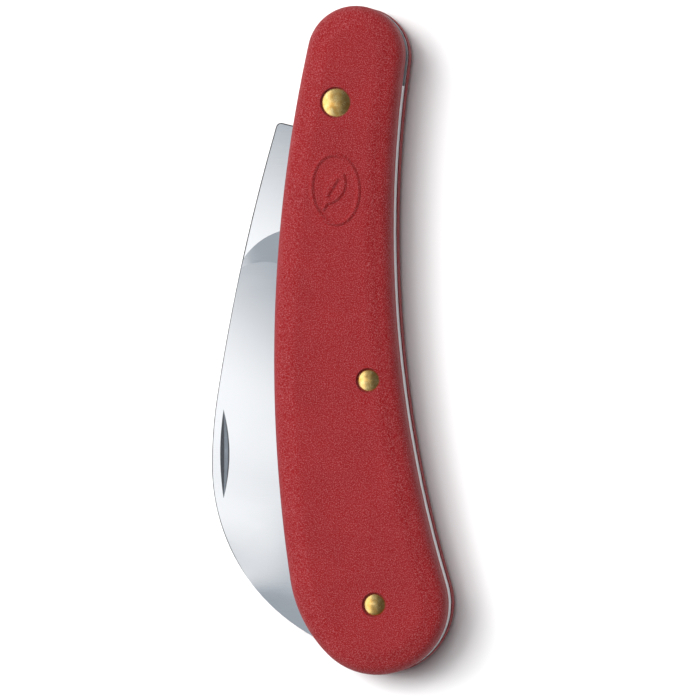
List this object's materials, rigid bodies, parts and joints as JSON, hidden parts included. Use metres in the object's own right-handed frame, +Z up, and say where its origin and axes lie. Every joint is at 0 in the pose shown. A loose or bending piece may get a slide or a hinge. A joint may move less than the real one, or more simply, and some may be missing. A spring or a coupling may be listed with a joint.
{
  "type": "grafting knife",
  "caption": "Folding grafting and pruning knife with a hooked steel blade, a spring-held tang, and a curved riveted nylon handle; closed, lying on its side.",
  "frame": {"origin": "middle of the closed knife's outline, on the underside that it lies on", "axes": "+Y along the handle towards the pivot end, +X towards the spring's back, +Z up through the front scale"},
  "size_m": [0.0396, 0.11, 0.0146],
  "materials": {
    "red_nylon": "fine moulded grain",
    "liner_steel": "ground edges",
    "spring_steel": "ground and lightly polished",
    "blade_steel": "finely ground and polished",
    "rivet_brass": "domed and polished"
  },
  "bodies": {
    "handle": {"front_scale": "red_nylon", "back_scale": "red_nylon", "front_liner": "liner_steel", "back_liner": "liner_steel", "back_spring": "spring_steel", "pivot_rivet": "rivet_brass", "middle_rivet": "rivet_brass", "end_rivet": "rivet_brass"},
    "blade": {"blade": "blade_steel"}
  },
  "joints": [
    {"name": "blade_pivot", "type": "hinge", "parent": "handle", "child": "blade", "pos_m": [0.00184, 0.039, 0.00715], "axis": [0, 0, -1], "range_deg": [0, 180], "deforming": ["back_spring"]}
  ]
}
